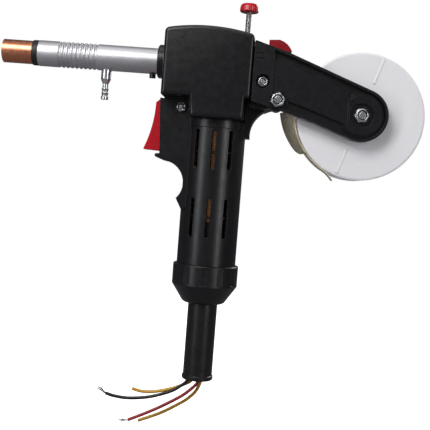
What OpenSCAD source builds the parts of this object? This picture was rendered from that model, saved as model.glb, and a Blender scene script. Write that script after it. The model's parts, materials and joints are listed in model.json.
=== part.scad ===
// Hand-held spool gun: a pistol-grip wire feeder for MIG welding.
// The origin is the centre of the nozzle's mouth. +X runs back along the barrel, +Z is up,
// and the gun's left side faces -Y. All sizes are in millimetres.

/* [Barrel] */
// Outside diameter of the gas nozzle
nozzle_d = 19; // [18.6:0.2:20]
// Length of the gas nozzle in front of the insulating ring
nozzle_len = 24.6; // [24:0.1:25.5]
// Outside diameter of the barrel tube
barrel_d = 21; // [20.6:0.2:21.6]
// Distance from the nozzle's mouth back to the head
head_x = 135; // [134.5:0.1:135.5]
// Number of grip grooves turned in the barrel
groove_count = 9; // [5:1:9]

/* [Head and grip] */
// Distance from the nozzle's mouth back to the grip's axis
grip_x = 179; // [178.5:0.1:179.5]
// Outside diameter of the round grip
grip_d = 48.2; // [47.6:0.2:49]
// Height of the grip's lower end
grip_z = -162; // [-164:0.5:-160]
// Wall thickness of the moulded covers
wall = 2.4; // [2:0.1:2.8]
// Number of rows of vents down the grip
vent_rows = 2; // [1:1:2]
// Angle between neighbouring vents around the grip
vent_step = 34; // [28:1:38]

/* [Spool] */
// Distance from the nozzle's mouth back to the spool's axis
spool_x = 292; // [291:0.5:294]
// Height of the spool's axis
spool_z = -34.8; // [-36:0.2:-34]
// Outside diameter of the wire spool
spool_d = 100; // [96:1:102]
// Overall width of the wire spool
spool_w = 45; // [44:0.5:45]
// Diameter of the spool's bore
spool_bore = 16.2; // [16.14:0.02:16.24]

/* [Drive] */
// Diameter of the driven feed roller
drive_d = 24; // [23.8:0.1:24]
// Diameter of the pressure roller
idler_d = 18; // [17.8:0.1:18]
// Diameter of the welding wire that the rollers are set for
wire_d = 0.8; // [0.8:0.1:1]
// Teeth on the sun gear cut on the armature's shaft
sun_teeth = 12; // [12:12:12]
// Teeth on each planet gear
planet_teeth = 24; // [24:24:24]
// Tooth module of the planetary gears
planet_module = 0.45; // [0.44:0.01:0.45]
// Teeth on the bevel pinion
pinion_teeth = 15; // [15:15:15]
// Teeth on the bevel gear
bevel_teeth = 30; // [30:30:30]

/* [Cable] */
// Outside diameter of the cable tube
tube_d = 24; // [23.4:0.2:24.6]
// Height of the cable tube's lower end
tube_z = -257; // [-260:1:-250]
// Diameter of one insulated wire
lead_d = 2.2; // [1.8:0.1:2.4]

/* [Hidden] */
$fn = 64;
eps = 0.01;
run_gap = 0.03;
black = [0.13, 0.13, 0.14];
red = [0.75, 0.08, 0.14];
steel = [0.72, 0.73, 0.75];
alu = [0.78, 0.79, 0.82];
brass = [0.80, 0.64, 0.32];
copper = [0.76, 0.42, 0.26];

nozzle_r = nozzle_d / 2;
barrel_r = barrel_d / 2;
barrel_bore_r = barrel_r - 2;
ring_x1 = nozzle_len + 4.6;
barrel_x1 = 152;
barb_x = 85.5;
clamp_x = 123.6;

cover_y = -34;
door_y = 24;
box_y = 20;
cover_bottom = -29.7;
cover_skirt = -45;
skirt_x0 = 158.5;
skirt_x1 = 201.2;
cover_x1 = 205.4;
crown_x = 168;
crown_z = 26.3;
crown_r = 152;
edge_r = 3;

grip_r = grip_d / 2;
grip_in = grip_r - 2.5;
grip_top = -30.6;
front_x = 133;
front_half = 15;
pivot = [137.5, -36];
low_bolt = [150.8, -36.7];
arm_nut = [213.9, -14.2];
arm_screw = [226.4, -27.6];
tail_y0 = -25;
arm_y = -34;
arm_end_r = 20.4;

drive_r = drive_d / 2;
idler_r = idler_d / 2;
drive_z = -drive_r + 0.2;
idler_z = wire_d / 2 + idler_r;
arm_pivot = [211, 9.5];
screw_x = 198.4;
seat_z = 5.5;
bridge_z = 16;
knob_z = 44.5;

pressure_angle = 25;
tip_share = 0.75;
root_share = 1;
bevel_module = 1.2;
bevel_face = 4 / 15;
pinion_r = pinion_teeth * bevel_module / 2;
bevel_r = bevel_teeth * bevel_module / 2;
sun_r = sun_teeth * planet_module / 2;
planet_r = planet_teeth * planet_module / 2;
planet_orbit = sun_r + planet_r;
ring_teeth = sun_teeth + 2 * planet_teeth;
ring_r = ring_teeth * planet_module / 2;

frame_z = -47;
box_z = -65;
motor_z = -127;
cap_z = -141;
motor_r = 18.5;
gear_z0 = -59.5;
gear_z1 = -51.3;

// Extrudes an outline drawn in X and Z from y0 to y1.
module slab(y0, y1) {
    translate([0, y1, 0])
        rotate([90, 0, 0])
            linear_extrude(height = y1 - y0)
                children();
}

// A cylinder along Y, at [x, z], from y0 to y1.
module rod_y(at, y0, y1, r) {
    translate([at[0], y1, at[1]])
        rotate([90, 0, 0])
            cylinder(h = y1 - y0, r = r);
}

// A cylinder along X on the barrel's axis.
module rod_x(x0, x1, r) {
    translate([x0, 0, 0])
        rotate([0, 90, 0])
            cylinder(h = x1 - x0, r = r);
}

// A cylinder along Z, at [x, y], from z0 up to z1.
module rod_z(at, z0, z1, r) {
    translate([at[0], at[1], z0])
        cylinder(h = z1 - z0, r = r);
}

// Turns a profile of [radius, distance along the barrel] about the barrel's axis.
module turned_x(points) {
    rotate([0, 90, 0])
        rotate_extrude()
            polygon(points);
}

// Turns a profile of [radius, height] about the grip's axis.
module turned_grip(points) {
    translate([grip_x, 0, 0])
        rotate_extrude()
            polygon(points);
}

// A coil spring as a stack of round rings joined by short posts, standing on z = 0.
module ring_coil(mean_r, wire_r, height, turns) {
    pitch = (height - 2 * wire_r) / (turns - 1);
    for (i = [0 : turns - 1])
        translate([0, 0, wire_r + i * pitch])
            rotate_extrude()
                translate([mean_r, 0])
                    circle(r = wire_r, $fn = 16);
    for (i = [0 : turns - 2])
        rotate([0, 0, i * 180])
            translate([mean_r, 0, wire_r + i * pitch])
                cylinder(h = pitch, r = wire_r * 0.8, $fn = 16);
}

// A bent wire that starts along +Z: steps are [straight length, bend radius, bend towards +X, wire radius].
module bent_wire(steps, i = 0) {
    length = steps[i][0];
    bend_r = steps[i][1];
    turn = steps[i][2];
    r = steps[i][3];
    lap = 0.05;
    translate([0, 0, -lap])
        cylinder(h = length + 2 * lap, r = r, $fn = 24);
    if (turn > 0)
        translate([bend_r, 0, length])
            rotate([90, 0, 0])
                rotate([0, 0, 180 - turn])
                    rotate_extrude(angle = turn)
                        translate([bend_r, 0])
                            circle(r = r * 0.98, $fn = 24);
    if (i < len(steps) - 1)
        translate([bend_r * (1 - cos(turn)), 0, length + bend_r * sin(turn)])
            rotate([0, turn, 0])
                bent_wire(steps, i + 1);
}

// Angle swept by an involute of base radius rb out to radius r.
function involute(rb, r) =
    let (t = sqrt(max(0, pow(r / rb, 2) - 1)))
    t * 180 / PI - atan(t);

// Half the angle of a tooth at radius r, on a gear of n teeth with pitch radius rp.
function half_tooth(n, rp, r, thin) =
    let (rb = rp * cos(pressure_angle))
    90 / n - thin / rp * 90 / PI + involute(rb, rp) - involute(rb, max(r, rb));

// Outline of a spur gear: flanks are sampled at even steps from root to tip.
function spur_outline(n, rp, root_r, tip_r, thin) =
    let (radii = [for (i = [0 : 3]) root_r + (tip_r - root_r) * i / 3])
    [for (k = [0 : n - 1], side = [-1, 1], i = [0 : 3])
        let (r = radii[side < 0 ? i : 3 - i])
        let (a = k * 360 / n + side * half_tooth(n, rp, r, thin))
        [r * cos(a), r * sin(a)]];

// Outline, in its pitch plane, of a straight bevel gear whose cones meet at height apex.
function bevel_outline(n, rp, apex, thin) =
    let (cone = atan(rp / apex))
    let (back_r = rp / cos(cone))
    let (back_n = n / cos(cone))
    let (low = back_r - bevel_module * root_share)
    let (high = back_r + bevel_module * tip_share)
    [for (k = [0 : n - 1], side = [-1, 1], i = [0 : 3])
        let (step = side < 0 ? i : 3 - i)
        let (rho = low + (high - low) * step / 3)
        let (a = k * 360 / n + side * half_tooth(back_n, back_r, rho, thin) / cos(cone))
        let (r = rho * cos(cone) * apex / (apex - (rho - back_r) * sin(cone)))
        [r * cos(a), r * sin(a)]];

// A hexagon nut with a round locking collar, seated on z = 0.
module lock_nut(across, height, bore_r) {
    difference() {
        union() {
            intersection() {
                cylinder(h = height * 0.68, r = across / sqrt(3), $fn = 6);
                cylinder(h = height * 0.68, r1 = across * 0.68, r2 = across * 0.54);
            }
            cylinder(h = height, r = across * 0.43);
        }
        translate([0, 0, -1])
            cylinder(h = height + 2, r = bore_r);
    }
}

// A socket-head bolt along Y: the head's seat is at y_head and the shank runs to y_end.
module bolt_y(at, y_head, y_end, shank_r, head_r, head_h) {
    difference() {
        translate([at[0], 0, at[1]])
            rotate([90, 0, 0])
                rotate_extrude()
                    polygon([
                        [0, -y_head - head_h], [head_r, -y_head - head_h], [head_r, -y_head],
                        [shank_r, -y_head], [shank_r, -y_end - 0.8], [shank_r - 0.8, -y_end], [0, -y_end]
                    ]);
        translate([at[0], y_head + head_h + eps, at[1]])
            rotate([90, 0, 0])
                cylinder(h = head_h * 0.6, r = head_r * 0.55, $fn = 6);
    }
}

// ---- Barrel ----

module nozzle() {
    color(copper)
        turned_x([
            [nozzle_r - 1.3, 0], [nozzle_r, 0], [nozzle_r, nozzle_len],
            [nozzle_r - 1.4, nozzle_len], [nozzle_r - 1.4, 12], [nozzle_r - 1.3, 11]
        ]);
}

module nozzle_insulator() {
    sleeve_r = nozzle_r - 1.45;
    color(black)
        turned_x([
            [sleeve_r - 1.05, 13], [sleeve_r, 13], [sleeve_r, nozzle_len],
            [barrel_r - 0.4, nozzle_len], [barrel_r - 0.2, nozzle_len + 0.6], [barrel_r - 0.2, ring_x1],
            [barrel_bore_r - 0.1, ring_x1], [barrel_bore_r - 0.1, 32], [sleeve_r - 1.05, 32]
        ]);
}

module contact_tip() {
    color(copper)
        turned_x([
            [wire_d / 2 + 0.1, 2.5], [1.6, 2.5], [3, 6], [3, 18],
            [2.55, 18], [2.55, 26.5], [wire_d / 2 + 0.1, 26.5]
        ]);
}

module gas_diffuser() {
    flange_r = barrel_bore_r - 0.05;
    color(brass)
        difference() {
            turned_x([
                [2.6, 18], [6, 18], [6, 32], [flange_r, 32], [flange_r, 38], [6, 38], [6, 46],
                [4.02, 46], [4.02, 38.2], [1.2, 38.2], [1.2, 27], [2.6, 27]
            ]);
            for (a = [0 : 60 : 300])
                rotate([a, 0, 0])
                    translate([31, 0, 7.1])
                        rotate([0, 90, 0])
                            cylinder(h = 8, r = 0.8, $fn = 24);
        }
}

module conductor_tube() {
    color(brass)
        turned_x([
            [2.3, 38.4], [4, 38.4], [4, 146], [barrel_bore_r - 0.05, 146],
            [barrel_bore_r - 0.05, barrel_x1], [2.3, barrel_x1]
        ]);
}

module wire_liner() {
    color(steel)
        turned_x([[wire_d + 0.1, 38.6], [2.2, 38.6], [2.2, 151], [wire_d + 0.1, 151]]);
}

module barrel_tube() {
    pitch = 3.64;
    first = 47.9;
    color(alu)
        difference() {
            turned_x([
                [barrel_bore_r, ring_x1], [barrel_r - 0.5, ring_x1], [barrel_r, ring_x1 + 0.5],
                [barrel_r, barrel_x1], [barrel_bore_r, barrel_x1]
            ]);
            for (i = [0 : groove_count - 1])
                translate([first + i * pitch, 0, 0])
                    rotate([0, 90, 0])
                        rotate_extrude()
                            translate([barrel_r + 0.45, 0])
                                circle(r = 1.3, $fn = 24);
            rod_z([barb_x, 0], -barrel_r - 1, 0, 2.5);
            rod_z([clamp_x, 0], -barrel_r - 1, 0, 1.6);
            rotate([-53, 0, 0])
                translate([93, 0, barrel_r + 0.5])
                    sphere(r = 1.3, $fn = 24);
        }
}

module gas_barb() {
    root_z = -barrel_r;
    color(steel)
        difference() {
            translate([barb_x, 0, 0])
                rotate_extrude()
                    polygon([
                        [1.3, -34.1], [3, -34.1], [3, -31.5], [2.35, -31], [3, -28.6], [2.35, -28.4],
                        [2.35, -27.6], [3, -25.2], [2.35, -25], [2.35, -21.5], [4.1, -17.5],
                        [4.1, -9.2], [2.5, -9.2], [2.5, -8.7], [1.3, -8.7]
                    ]);
            difference() {
                rod_x(barb_x - 6, barb_x + 6, barrel_r);
                rod_z([barb_x, 0], root_z - 2, 0, 2.5);
            }
        }
}

module barrel_clamp_screw() {
    color(black)
        difference() {
            union() {
                rod_z([clamp_x, 0], -13.8, -10.8, 2.6);
                rod_z([clamp_x, 0], -11, -8.7, 1.55);
            }
            translate([clamp_x, 0, -13.8 - eps])
                cylinder(h = 1.6, r = 1.4, $fn = 6);
        }
}

module barrel_collar() {
    x0 = head_x - 7.2;
    color(black)
        turned_x([
            [barrel_r + 0.05, x0], [12.6, x0], [13.6, x0 + 1], [13.6, head_x - 0.2],
            [barrel_r + 0.05, head_x - 0.2]
        ]);
}

// ---- Head covers ----

// Height of the crowned top at distance x, lowered by inset.
function crown(x, inset) =
    crown_z - crown_r + sqrt(pow(crown_r - inset, 2) - pow(x - crown_x, 2));

// Outline of the head in X and Z, drawn in by inset.
function head_outline(inset) = concat(
    [for (i = [0 : 12])
        let (x = head_x + inset + (cover_x1 - head_x - 2 * inset) * i / 12)
        [x, crown(x, inset)]],
    [
        [cover_x1 - inset, -27.3],
        [skirt_x1 - inset, -29.5],
        [skirt_x1 - inset, cover_skirt + inset],
        [skirt_x0 + inset, cover_skirt + inset],
        [156.3 + inset, cover_bottom + inset],
        [head_x + inset, cover_bottom + inset]
    ]);

// A convex plate along Y whose outer edge is rounded over edge_r in three short steps.
module soft_block(lower) {
    hull() {
        for (a = [0 : 30 : 90])
            slab(cover_y + edge_r * (1 - cos(a)), cover_y + edge_r * (1 - cos(a)) + 0.1)
                block_outline(lower, edge_r * (1 - sin(a)));
        slab(-0.1, 0)
            block_outline(lower, 0);
    }
}

// Outline of the head's upper block, or of the skirt below it, drawn in by inset.
module block_outline(lower, inset) {
    if (lower)
        polygon([
            [skirt_x0 + inset, -20], [skirt_x1 - inset, -20],
            [skirt_x1 - inset, cover_skirt + inset], [skirt_x0 + inset, cover_skirt + inset]]);
    else
        polygon(concat(
            [for (i = [0 : 12])
                let (x = head_x + inset + (cover_x1 - head_x - 2 * inset) * i / 12)
                [x, crown(x, inset)]],
            [[cover_x1 - inset, -27.3 + inset], [head_x + inset, cover_bottom + inset]]));
}

// Space that the barrel, the tension screw and the wire path need through the head's walls.
module head_openings() {
    rod_x(head_x - 5, head_x + 6, barrel_r + 0.3);
    rod_z([screw_x, 0], 15, 35, 3.2);
    translate([cover_x1 - 6, -19.5, -31])
        cube([10, 34.5, 49]);
    rod_z([grip_x, 0], cover_skirt - 1, -30.2, grip_r + 0.4);
    translate([grip_x, 0, cover_skirt - 1])
        linear_extrude(height = 15.8)
            housing_plan(-0.4);
}

module head_cover() {
    color(black)
        difference() {
            union() {
                soft_block(false);
                soft_block(true);
            }
            slab(cover_y + wall, 1)
                polygon(head_outline(wall));
            head_openings();
        }
}

module hinge_knuckles(levels, height) {
    for (z = levels)
        rod_z([head_x + 0.4, door_y - 1.2], z, z + height, 2.7);
}

module feeder_door() {
    color(black)
        difference() {
            union() {
                slab(box_y + 0.2, door_y - 1.2)
                    block_outline(false, 0);
                slab(door_y - 1.2 - eps, door_y)
                    block_outline(false, 1.2);
                slab(box_y - 2.8, box_y + 0.2 + eps)
                    difference() {
                        block_outline(false, wall + 0.3);
                        block_outline(false, wall + 1.9);
                    }
                hinge_knuckles([-15.8, 3.2], 9.6);
                translate([cover_x1 - 1, box_y + 0.4, -6])
                    cube([3.4, 2.6, 12]);
            }
            translate([head_x - 4, box_y - 4, -6])
                cube([10, 9, 9]);
            rod_z([head_x + 0.4, door_y - 1.2], -20, 20, 1.27);
            translate([head_x - 4, box_y - 4, -30])
                cube([10, 4.3, 60]);
        }
}

module door_hinge_pin() {
    color(steel)
        rod_z([head_x + 0.4, door_y - 1.2], -16, 13, 1.25);
}

// ---- Grip shells ----

// Plan of the trigger housing: a flat-sided box that runs forward out of the round grip.
module housing_plan(inset) {
    half = front_half - inset;
    circle(r = grip_r - inset);
    translate([front_x - grip_x - 10, -half])
        square([grip_x - front_x + 10, 2 * half]);
}

// Side view of the trigger housing, with the finger rest cut as a true arc below a rounded lip.
module housing_side() {
    lip = [133.4, -76.5];
    difference() {
        union() {
            polygon([
                [front_x, -30.6], [front_x + 2.6, -74.8], [lip[0], -75.1], [lip[0] - 0.4, -78],
                [142.9, -81.6], [150, -100], [151.4, -109.6], [156.2, -118.4], [160, -117],
                [172, -92], [grip_x, -88], [grip_x, -30.6]
            ]);
            translate(lip)
                circle(r = 1.5, $fn = 32);
        }
        translate([139, -97.7])
            circle(r = 17.3);
    }
}

module housing_cavity_side() {
    polygon([
        [front_x + 2.6, -33], [front_x + 5.2, -75], [143.5, -78], [150, -80.5], [156, -88],
        [159, -98], [159.5, -117], [grip_x, -117], [grip_x, -33]
    ]);
}

// Side view of the tail that carries the spool arm, with the web's hollow curve below.
module tail_side(inset) {
    difference() {
        polygon([
            [199 + inset, -57.5 + inset], [232.5 - inset, -57.5 + inset], [234 - inset, 7.5 - inset],
            [206 + inset, 14.8 - inset], [206 + inset, -27.8 - inset],
            [201.6 + inset, -27.8 - inset], [201.6 + inset, -46], [199 + inset, -46]
        ]);
        translate([229.1, -54.1])
            circle(r = 22.7 + inset, $fn = 96);
    }
}

// Everything outside the grip's skin that the shells share, cut in half by the caller.
module shell_solid(half_w) {
    translate([grip_x, 0, 0])
        difference() {
            union() {
                rod_z([0, 0], grip_z, grip_top, grip_r);
                rod_z([0, 0], -51.5, -45.4, grip_r + 0.9);
                rod_z([0, 0], grip_z - 14, grip_z + 1, grip_r - 1.6);
            }
            rod_z([0, 0], grip_z - 15, grip_top + 1, grip_in);
        }
    intersection() {
        slab(-30, 30)
            housing_side();
        translate([grip_x, 0, -120])
            linear_extrude(height = 100)
                housing_plan(0);
    }
    slab(-min(12, half_w), min(12, half_w))
        tail_side(0);
    slab(-half_w, half_w)
        intersection() {
            tail_side(0);
            translate([206, -34.5])
                square([40, 60]);
        }
}

// Hollows shared by the two shells.
module shell_hollow(half_w) {
    rod_z([grip_x, 0], grip_z - 15, grip_top + 1, grip_in);
    rod_z([grip_x, 0], grip_top - eps, -20, grip_r + 2);
    intersection() {
        slab(-30, 30)
            housing_cavity_side();
        translate([grip_x, 0, -120])
            linear_extrude(height = 100)
                housing_plan(2.5);
    }
    slab(-half_w + wall, half_w - wall)
        intersection() {
            tail_side(wall);
            translate([200, -32])
                square([60, 60]);
        }
    translate([200, -19.4, -24])
        cube([17.6, 32.8, 45]);
    translate([206, -7.2, 2])
        cube([26, 14.4, 20]);
    rod_x(225, 240, 3.6);
    translate([120, -6.4, -74.6])
        cube([22, 12.8, 60]);
    for (row = [0 : vent_rows - 1], side = [-90, 90], k = [-1 : 1])
        translate([grip_x, 0, 0])
            rotate([0, 0, side + k * vent_step])
                vent(-53.2 - 54.8 * row);
    rod_y(pivot, 6.3, 10.2, 3.7);
    rod_y(pivot, -11.5, 11.5, 2.02);
    rod_y(low_bolt, -40, 40, 2.15);
    rod_y(arm_nut, -40, 40, 2.15);
    rod_y(arm_screw, -40, 40, 3.1);
}

// One vent: a round-ended slot through the grip's wall, 31.4 high from its top.
module vent(top) {
    vent_r = 1.8;
    translate([grip_in - 3, 0, top - vent_r])
        rotate([0, 90, 0])
            cylinder(h = 8, r = vent_r, $fn = 24);
    translate([grip_in - 3, 0, top - 31.4 + vent_r])
        rotate([0, 90, 0])
            cylinder(h = 8, r = vent_r, $fn = 24);
    translate([grip_in - 3, -vent_r, top - 31.4 + vent_r])
        cube([8, 2 * vent_r, 31.4 - 2 * vent_r]);
}

// Rings that hold the motor, and bosses for the bolts and the trigger's pin.
module shell_inside() {
    for (z = [-72, -124])
        difference() {
            rod_z([grip_x, 0], z, z + 2, grip_in + 0.2);
            rod_z([grip_x, 0], z - 1, z + 3, motor_r + 0.1);
        }
    difference() {
        for (s = [-1, 1])
            rod_y(pivot, s < 0 ? -14 : 10.2, s < 0 ? -6.2 : 14, 4);
        rod_y(pivot, -11.5, 11.5, 2.02);
    }
    for (z = [-47, -59], s = [-1, 1])
        rod_y([152.5, z], s < 0 ? -14 : 0.2, s < 0 ? -0.2 : 14, 1.05);
}

module left_shell() {
    color(black)
        intersection() {
            union() {
                difference() {
                    shell_solid(-tail_y0);
                    shell_hollow(-tail_y0);
                }
                shell_inside();
            }
            translate([100, -40, -200])
                cube([150, 40 - 0.05, 260]);
        }
}

module right_shell() {
    color(black)
        difference() {
            union() {
                intersection() {
                    union() {
                        difference() {
                            shell_solid(box_y);
                            shell_hollow(box_y);
                        }
                        shell_inside();
                    }
                    translate([100, 0.05, -200])
                        cube([150, 40, 260]);
                }
                difference() {
                    slab(0.05, box_y)
                        difference() {
                            block_outline(false, 0);
                            block_outline(false, wall);
                        }
                    head_openings();
                    rod_z([grip_x, 0], -31, -24, grip_in);
                    translate([head_x + wall, -1, cover_bottom - 1])
                        cube([grip_x - head_x, 13, 4.4]);
                }
                intersection() {
                    difference() {
                        rod_z([grip_x, 0], grip_top - 6, -26.8, grip_r);
                        rod_z([grip_x, 0], grip_top - 7, -26, grip_in);
                        translate([130, box_y, cover_bottom - 0.5])
                            cube([100, 20, 10]);
                    }
                    translate([100, 0.05, -60])
                        cube([150, 40, 60]);
                }
                hinge_knuckles([-5.8], 8.6);
                translate([head_x, box_y - 4, -5.8])
                    cube([3, 4.4, 8.6]);
            }
            rod_z([head_x + 0.4, door_y - 1.2], -20, 20, 1.27);
            rod_y(low_bolt, -40, 40, 2.15);
        }
}

// ---- Trigger ----

module trigger() {
    half = 5.8;
    color(red)
        difference() {
            union() {
                slab(-half, half)
                    difference() {
                        polygon([
                            [129, -33.7], [131.5, -31.4], [137.5, -31.8], [141, -36], [141, -48],
                            [138.4, -72], [134.4, -72.6], [121.1, -72], [123.2, -66], [127.6, -42]
                        ]);
                        translate([31.5, -33.5])
                            circle(r = 97.4, $fn = 180);
                    }
                rod_y(pivot, -half, half, 3.8);
            }
            rod_y(pivot, -10, 10, 2 + run_gap);
        }
}

module trigger_spring() {
    wire_r = 0.4;
    leg_x = 141.6;
    color(steel) {
        translate([pivot[0], 9.7, pivot[1]])
            rotate([90, 0, 0])
                ring_coil(2.9, wire_r, 3.2, 3);
        translate([pivot[0] + 2.6, 6.9, pivot[1]])
            rotate([0, 90, 0])
                cylinder(h = leg_x - pivot[0] - 2.4, r = wire_r * 0.8, $fn = 16);
        rod_y([leg_x, pivot[1]], 3, 7, wire_r * 0.7);
    }
}

module trigger_switch() {
    color(black)
        difference() {
            slab(-3.2, 3.2)
                polygon([[145, -44], [156, -44], [156, -62], [145, -62]]);
            translate([144, 0, -48])
                rotate([0, 90, 0])
                    cylinder(h = 6, r = 1.3);
            for (z = [-47, -59])
                rod_y([152.5, z], -4, 4, 1.1);
        }
    color(brass)
        for (z = [-49, -53, -57])
            translate([156 - eps, -0.3, z - 1])
                cube([1.2, 0.6, 2]);
}

module switch_plunger() {
    color(red)
        translate([141.2, 0, -48])
            rotate([0, 90, 0])
                cylinder(h = 5.6, r = 1.25);
}

module dowel_pins() {
    color(steel) {
        rod_y(pivot, -11.4, 11.4, 2);
        rod_y(arm_pivot, -11.4, 11.4, 2);
    }
}

// ---- Motor and gearbox ----

module motor_can() {
    magnet_z0 = -113;
    magnet_z1 = -73;
    color(copper) {
        turned_grip([
            [4.1, box_z], [motor_r, box_z], [motor_r, motor_z], [motor_r - 2, motor_z],
            [motor_r - 2, box_z - 2], [4.1, box_z - 2]
        ]);
        for (side = [-60, 120])
            translate([grip_x, 0, magnet_z0])
                rotate([0, 0, side])
                    rotate_extrude(angle = 120)
                        translate([13.2, 0])
                            square([3.5, magnet_z1 - magnet_z0]);
    }
}

module motor_end_cap() {
    color(black)
        difference() {
            union() {
                rod_z([grip_x, 0], cap_z, motor_z, motor_r - 0.2);
                for (s = [-1, 1])
                    translate([grip_x + s * 9.6 - 3, -2.5, motor_z - eps])
                        cube([6, 5, 10]);
                for (s = [-1, 1])
                    translate([grip_x + s * 10 - 0.4, -2.4, cap_z - 6])
                        cube([0.8, 4.8, 6 + eps]);
            }
            rod_z([grip_x, 0], cap_z - 1, motor_z + 1, 4);
            rod_z([grip_x, 0], motor_z - 1.5, motor_z + 1, 6.4);
        }
}

module armature() {
    color(steel)
        translate([grip_x, 0, 0]) {
            rod_z([0, 0], cap_z + 3, gear_z0 - 0.6, 2);
            difference() {
                rod_z([0, 0], -113, -73, 12.5);
                for (a = [0 : 72 : 288])
                    rotate([0, 0, a])
                        translate([10, -1, -114])
                            cube([4, 2, 42]);
            }
            rod_z([0, 0], -121, -113, 6);
            translate([0, 0, gear_z0 - 0.6 - eps])
                linear_extrude(height = gear_z1 - gear_z0)
                    polygon(spur_outline(sun_teeth, sun_r, sun_r - planet_module * root_share,
                        sun_r + planet_module * tip_share, 0.1));
        }
}

module bush(length, outer_r, bore_r) {
    difference() {
        cylinder(h = length, r = outer_r);
        translate([0, 0, -1])
            cylinder(h = length + 2, r = bore_r);
    }
}

module shaft_bushes() {
    color(brass) {
        translate([grip_x, 0, frame_z])
            bush(10, 5, 2.5 + run_gap);
        translate([grip_x, 0, box_z])
            bush(4.6, 4, 2 + run_gap);
        translate([grip_x, 0, cap_z])
            bush(6, 4, 2 + run_gap);
        for (y = [-14.2, -20.8])
            translate([grip_x, y, drive_z])
                rotate([90, 0, 0])
                    bush(5.2, 5, 3 + run_gap);
    }
}

module gearbox_housing() {
    root_r = ring_r + planet_module * root_share;
    tip_r = ring_r - planet_module * tip_share;
    color(copper)
        difference() {
            rod_z([grip_x, 0], box_z, frame_z, motor_r);
            rod_z([grip_x, 0], gear_z1 + 0.1, frame_z + 1, 14.4);
            rod_z([grip_x, 0], box_z - 1, frame_z, 4);
            translate([grip_x, 0, gear_z0 - 0.8])
                linear_extrude(height = gear_z1 - gear_z0 + 1)
                    polygon(ring_space(root_r, tip_r));
            for (a = [45 : 90 : 315])
                translate([grip_x + 16.3 * cos(a), 16.3 * sin(a), frame_z - 7])
                    cylinder(h = 8, r = 1.5);
        }
}

// The hollow inside the ring gear: its outline is that of a gear with a tooth in every space.
function ring_space(root_r, tip_r) =
    let (half_pitch = 180 / ring_teeth)
    [for (p = spur_outline(ring_teeth, ring_r, tip_r, root_r, -0.1))
        [p[0] * cos(half_pitch) - p[1] * sin(half_pitch),
         p[0] * sin(half_pitch) + p[1] * cos(half_pitch)]];

// One planet on its carrier pin, with a space facing the sun.
module planet(number) {
    place = (number - 1) * 120;
    color(steel)
        translate([grip_x, 0, gear_z0])
            rotate([0, 0, place])
                translate([planet_orbit, 0, 0])
                    rotate([0, 0, 180 / planet_teeth])
                        difference() {
                            linear_extrude(height = gear_z1 - gear_z0 - 0.2)
                                polygon(spur_outline(planet_teeth, planet_r,
                                    planet_r - planet_module * root_share,
                                    planet_r + planet_module * tip_share, 0.1));
                            translate([0, 0, -1])
                                cylinder(h = 20, r = 1.5 + run_gap);
                        }
}

module planet_gear_1() { planet(1); }
module planet_gear_2() { planet(2); }
module planet_gear_3() { planet(3); }

module planet_carrier() {
    color(steel) {
        rod_z([grip_x, 0], -51.1, -48, 11);
        rod_z([grip_x, 0], -48 - eps, -25.2, 2.5);
        for (a = [0 : 120 : 240])
            rod_z([grip_x + planet_orbit * cos(a), planet_orbit * sin(a)], gear_z0, -51, 1.5);
    }
}

// ---- Bevel drive and feed rollers ----

module bevel_pinion() {
    back_z = drive_z - bevel_r;
    color(steel)
        difference() {
            union() {
                translate([grip_x, 0, back_z])
                    rotate([0, 0, -90])
                        linear_extrude(height = bevel_r * bevel_face, scale = 1 - bevel_face)
                            polygon(bevel_outline(pinion_teeth, pinion_r, bevel_r, 0.2));
                rod_z([grip_x, 0], back_z - 5, back_z + eps, 6);
            }
            rod_z([grip_x, 0], back_z - 6, back_z + 10, 2.5);
        }
}

module bevel_gear() {
    color(steel)
        difference() {
            union() {
                translate([grip_x, -pinion_r, drive_z])
                    rotate([-90, 0, 0])
                        linear_extrude(height = pinion_r * bevel_face, scale = 1 - bevel_face)
                            polygon(bevel_outline(bevel_teeth, bevel_r, pinion_r, 0.2));
                rod_y([grip_x, drive_z], -pinion_r - 2, -pinion_r + eps, 15);
                rod_y([grip_x, drive_z], -13.6, -pinion_r - 1, 7);
            }
            rod_y([grip_x, drive_z], -20, 0, 3);
        }
}

module roller_shaft() {
    at = [grip_x, drive_z];
    color(steel)
        difference() {
            union() {
                rod_y(at, -26.6, 4, 3);
                rod_y(at, -6.4, -4.1, 5);
            }
            rod_y(at, -4, 5, 1.6);
        }
}

// A feed roller along Y with a V groove for the wire at its middle.
module grooved_roller(at, r, bore_r, depth) {
    translate([at[0], 0, at[1]])
        rotate([90, 0, 0])
            rotate_extrude()
                polygon([
                    [bore_r, -4], [r - 0.5, -4], [r, -3.5], [r, -depth], [r - depth, 0], [r, depth],
                    [r, 3.5], [r - 0.5, 4], [bore_r, 4]
                ]);
}

module drive_roller() {
    color(steel)
        grooved_roller([grip_x, drive_z], drive_r, 3, 0.7);
}

module roller_screw() {
    color(steel)
        bolt_y([grip_x, drive_z], 4, -3.5, 1.6, 4.6, 3.2);
}

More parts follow.
